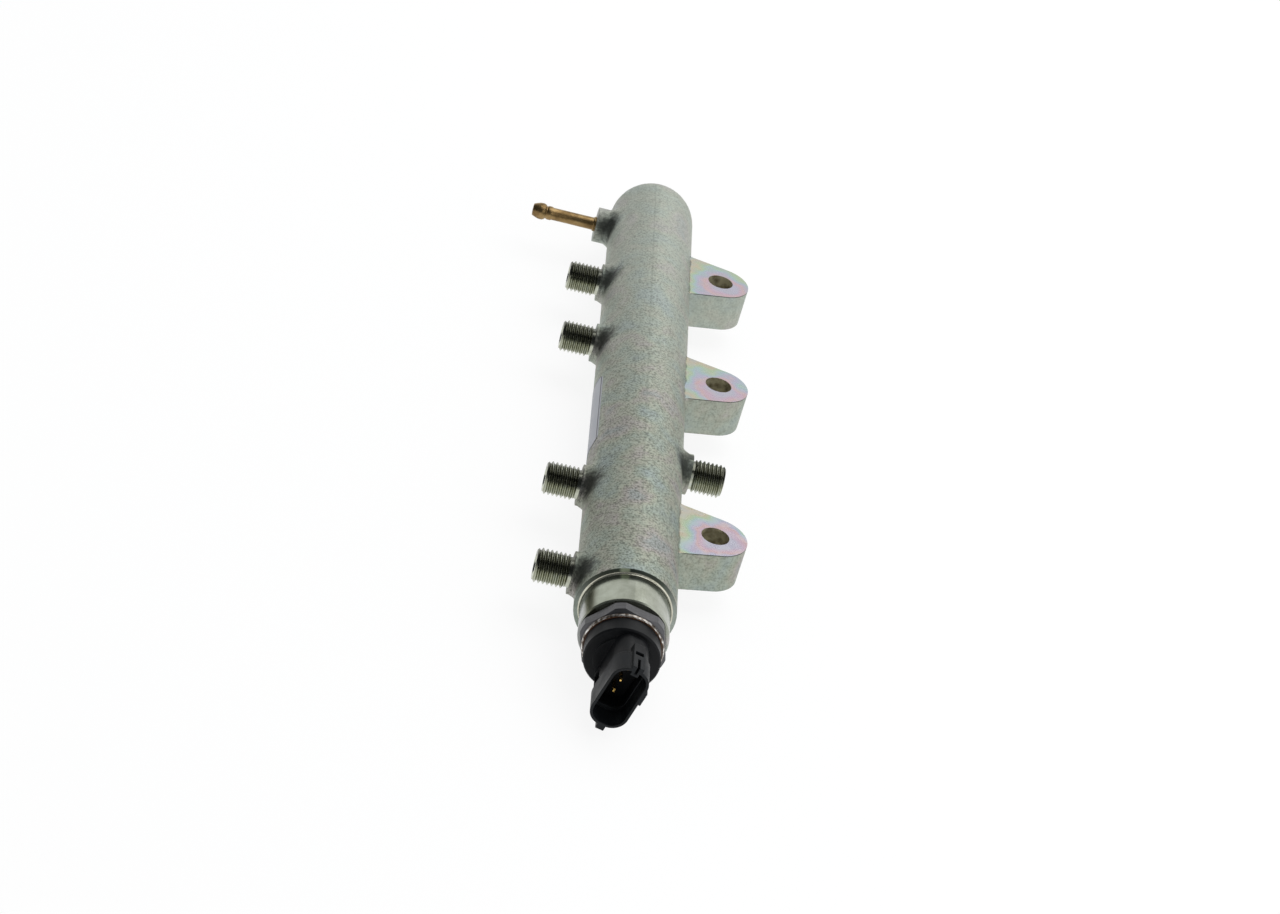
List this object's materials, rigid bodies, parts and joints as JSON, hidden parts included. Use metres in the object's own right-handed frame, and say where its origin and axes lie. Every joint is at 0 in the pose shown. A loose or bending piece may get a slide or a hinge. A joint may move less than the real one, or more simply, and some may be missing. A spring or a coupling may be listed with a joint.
{
  "type": "fuel rail",
  "caption": "High-pressure diesel fuel rail: forged round barrel with side mounting lugs, threaded pipe studs, a brass return nipple and a pressure sensor with a plug socket in one end.",
  "frame": {"origin": "midway between the two outer bolt holes, in the plane of the lugs' seats", "axes": "+Y along the rail from the sensor to the closed end, +Z along the bolts away from the engine, +X towards the lugs' side"},
  "size_m": [0.088, 0.3393, 0.034],
  "materials": {
    "forged_steel": "blasted forging, zinc plated with a faint yellow-green passivation",
    "brass": "turned and lightly tarnished",
    "throttle_steel": "turned",
    "label_film": "satin printed film, left blank",
    "port_steel": "turned stainless steel, satin",
    "cup_steel": "polished",
    "carrier_plastic": "moulded",
    "board_laminate": "green solder mask",
    "crimp_steel": "rolled over, bright",
    "sealing_bead": "brown cured bead",
    "housing_plastic": "fine moulded texture",
    "contact_plating": "gold plated"
  },
  "bodies": {
    "root": {"rail_body": "forged_steel", "return_nipple": "brass", "return_throttle": "throttle_steel", "label": "label_film", "sensor_port": "port_steel", "sensing_element": "cup_steel", "board_carrier": "carrier_plastic", "circuit_board": "board_laminate", "crimp_ring": "crimp_steel", "sealing_ring": "sealing_bead", "connector_housing": "housing_plastic", "contact_pin_1": "contact_plating", "contact_pin_2": "contact_plating", "contact_pin_3": "contact_plating"}
  },
  "joints": []
}
